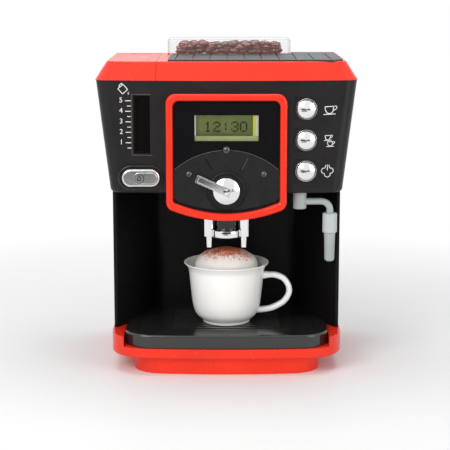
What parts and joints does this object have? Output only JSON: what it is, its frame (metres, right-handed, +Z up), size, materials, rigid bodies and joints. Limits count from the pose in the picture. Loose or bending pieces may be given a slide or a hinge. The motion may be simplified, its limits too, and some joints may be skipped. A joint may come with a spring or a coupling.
{
  "type": "toy coffee maker",
  "caption": "Toy espresso machine with red covers, selector dial, push buttons, swivelling steam wand, pull-out drip tray and a cup of foam coffee.",
  "frame": {"origin": "centre of the machine's footprint, on the surface that it stands on", "axes": "+X to the right seen from the front, +Y to the back, +Z up; the front faces -Y"},
  "size_m": [0.231, 0.162, 0.2935],
  "materials": {
    "red_plastic": "moulded ABS, satin gloss red",
    "charcoal_plastic": "moulded ABS, satin charcoal",
    "black_plastic": "moulded ABS, near black",
    "gloss_black": "gloss black plastic",
    "tray_plastic": "glossy charcoal plastic",
    "chrome_plating": "vacuum plated plastic",
    "grey_plastic": "light grey moulded plastic",
    "clear_plastic": "clear polystyrene",
    "lcd_green": "display panel, yellow green",
    "bean_brown": "glossy moulded beans",
    "cup_white": "white polypropylene",
    "foam_cream": "moulded foam with cocoa print",
    "board_green": "glass-fibre board",
    "steel": "zinc plated steel",
    "cell_wrap": "plain cell sleeve",
    "hose_silicone": "translucent silicone"
  },
  "bodies": {
    "machine": {"base_shell": "red_plastic", "top_cover": "red_plastic", "frame_ring": "red_plastic", "base_plate": "black_plastic", "battery_door": "black_plastic", "batteries": "cell_wrap", "battery_contacts": "steel", "body_housing": "black_plastic", "back_cover": "black_plastic", "housing_screws": "steel", "screw_bosses": "black_plastic", "head_shell": "charcoal_plastic", "button_panel": "charcoal_plastic", "button_rims": "chrome_plating", "button_board": "board_green", "tact_switches": "black_plastic", "head_floor": "black_plastic", "faceplate": "gloss_black", "lcd_window": "clear_plastic", "lcd_module": "lcd_green", "dial_plate": "charcoal_plastic", "dial_ring": "gloss_black", "indicator_lamps": "gloss_black", "control_board": "board_green", "board_posts": "black_plastic", "selector_switch": "black_plastic", "gauge_window": "gloss_black", "water_tank": "clear_plastic", "tank_rails": "black_plastic", "switch_bezel": "gloss_black", "lid_hinge_pin": "steel", "warmer_tray": "charcoal_plastic", "bean_hopper": "clear_plastic", "coffee_beans": "bean_brown", "brew_head": "gloss_black", "spout_body": "chrome_plating", "spout_nozzles": "chrome_plating", "water_pump": "black_plastic", "suction_hose": "hose_silicone", "outlet_hose": "hose_silicone", "speaker": "black_plastic", "main_board": "board_green"},
    "selector": {"selector_knob": "chrome_plating", "knob_shaft": "grey_plastic"},
    "steam_button": {"steam_button": "chrome_plating"},
    "two_cup_button": {"two_cup_button": "chrome_plating"},
    "cup_button": {"cup_button": "chrome_plating"},
    "pour_switch": {"pour_switch": "chrome_plating"},
    "steam_wand": {"wand_hub": "grey_plastic", "wand_arm": "grey_plastic", "wand_sleeve": "grey_plastic", "wand_tip": "grey_plastic"},
    "tank_lid": {"tank_lid": "red_plastic"},
    "drip_tray": {"drip_tray": "tray_plastic", "drip_grille": "tray_plastic"},
    "cup": {"cup": "cup_white", "foam_insert": "foam_cream"}
  },
  "joints": [
    {"name": "selector_turn", "type": "hinge", "parent": "machine", "child": "selector", "pos_m": [0, -0.075, 0.1659], "axis": [0, 1, 0], "range_deg": [0, 132]},
    {"name": "steam_button_press", "type": "slide", "parent": "machine", "child": "steam_button", "axis": [0, 1, 0], "range_m": [0, 0.0025], "stiffness_N_per_m": 300, "springref_m": -0.0005},
    {"name": "two_cup_button_press", "type": "slide", "parent": "machine", "child": "two_cup_button", "axis": [0, 1, 0], "range_m": [0, 0.0025], "stiffness_N_per_m": 300, "springref_m": -0.0005},
    {"name": "cup_button_press", "type": "slide", "parent": "machine", "child": "cup_button", "axis": [0, 1, 0], "range_m": [0, 0.0025], "stiffness_N_per_m": 300, "springref_m": -0.0005},
    {"name": "pour_switch_press", "type": "slide", "parent": "machine", "child": "pour_switch", "axis": [0, 1, 0], "range_m": [0, 0.003], "stiffness_N_per_m": 300, "springref_m": -0.0005},
    {"name": "wand_swivel", "type": "hinge", "parent": "machine", "child": "steam_wand", "pos_m": [0.0654, -0.054, 0.155], "axis": [0, 0, 1], "range_deg": [-90, 90]},
    {"name": "tank_lid_open", "type": "hinge", "parent": "machine", "child": "tank_lid", "pos_m": [-0.088, 0.0545, 0.2745], "axis": [-1, 0, 0], "range_deg": [0, 85]},
    {"name": "drip_tray_slide", "type": "slide", "parent": "machine", "child": "drip_tray", "axis": [0, -1, 0], "range_m": [0, 0.1]},
    {"name": "cup_lift_off", "type": "slide", "parent": "drip_tray", "child": "cup", "axis": [0, -1, 0], "range_m": [0, 0.15]}
  ]
}
